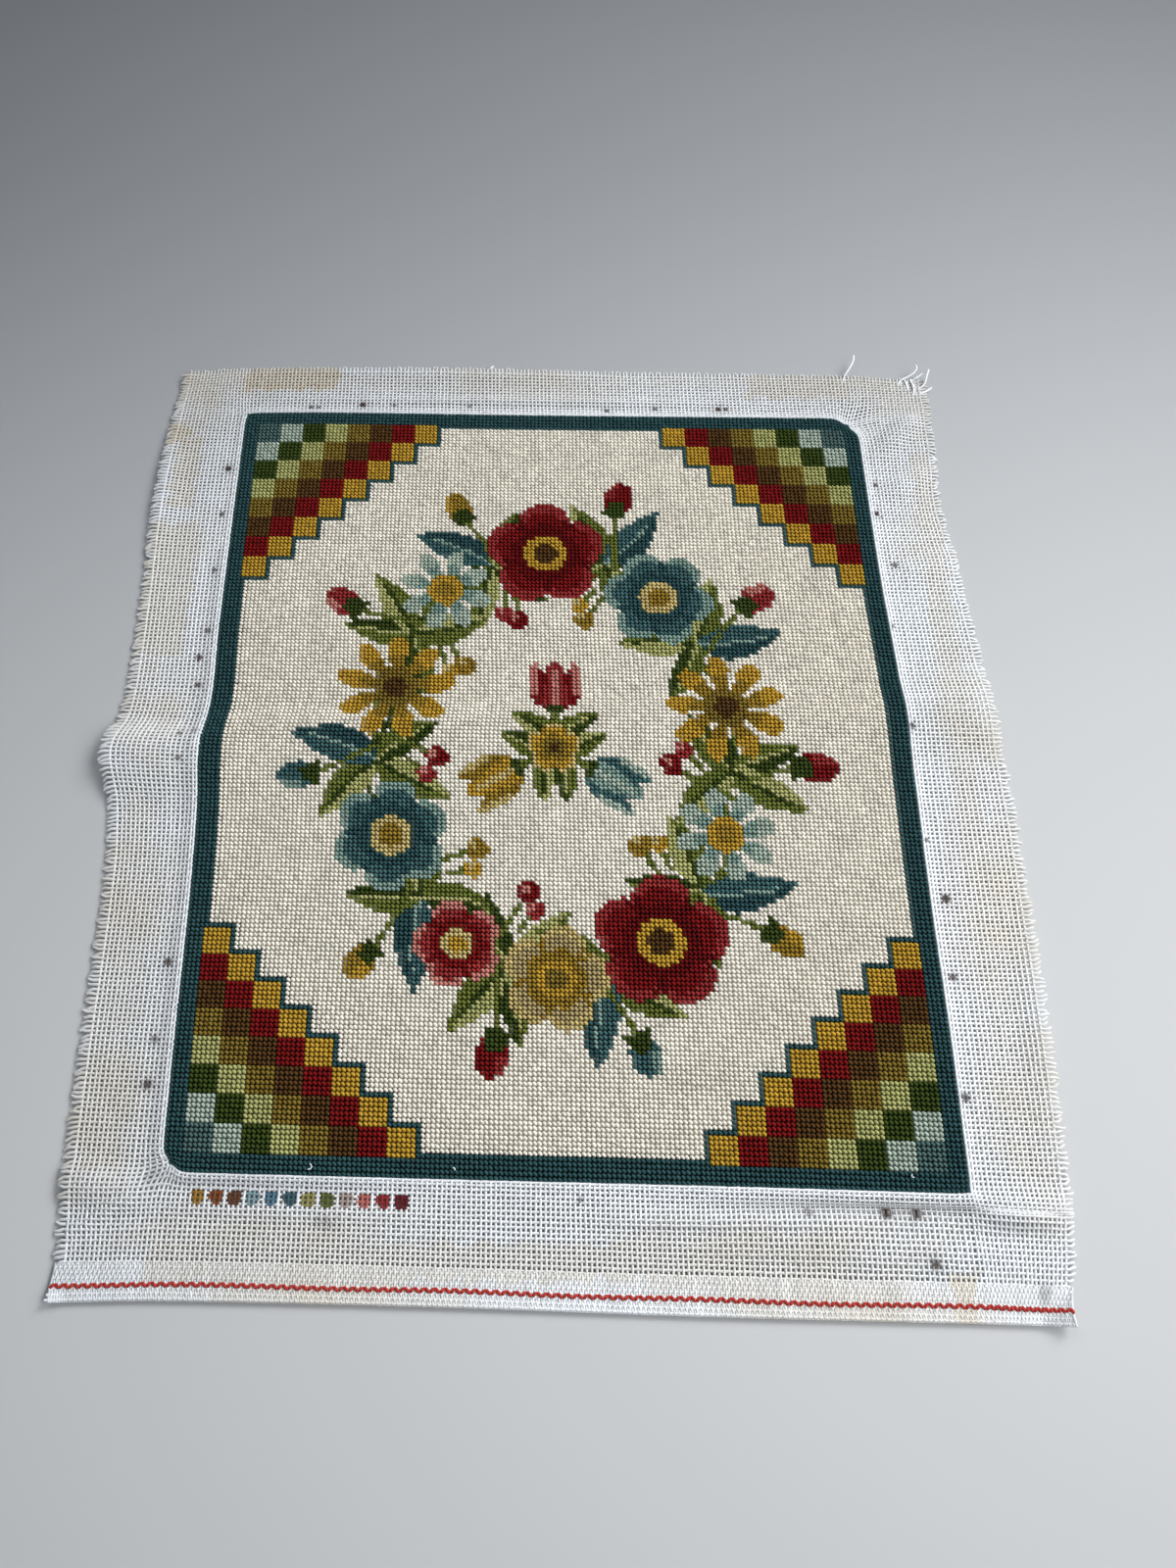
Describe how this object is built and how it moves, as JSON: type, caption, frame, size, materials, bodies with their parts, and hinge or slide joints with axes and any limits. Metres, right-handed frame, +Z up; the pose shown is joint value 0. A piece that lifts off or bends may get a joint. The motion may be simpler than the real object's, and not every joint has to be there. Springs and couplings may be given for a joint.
{
  "type": "needlepoint canvas panel",
  "caption": "Worked needlepoint canvas lying loose, with a stitched frame, stepped checked corners, a plain ground and bare raw-edged canvas margins.",
  "frame": {"origin": "middle of the footprint, on the surface the cloth lies on", "axes": "+X across the panel to the right, +Y up the panel, +Z up out of the worked face"},
  "size_m": [0.4592, 0.52, 0.0079],
  "materials": {
    "cotton_canvas": "stiff open-weave cotton, matt, with old tape stains",
    "teal_wool": "matt tapestry wool in tent stitch",
    "cream_wool": "matt tapestry wool in tent stitch",
    "check_wools": "matt tapestry wools of eight colours in tent stitch"
  },
  "bodies": {
    "root": {"canvas": "cotton_canvas", "border_stitching": "teal_wool", "ground_stitching": "cream_wool", "checks_bottom_left": "check_wools", "checks_bottom_right": "check_wools", "checks_top_left": "check_wools", "checks_top_right": "check_wools", "step_outline_bottom_left": "teal_wool", "step_outline_bottom_right": "teal_wool", "step_outline_top_left": "teal_wool", "step_outline_top_right": "teal_wool"}
  },
  "joints": []
}
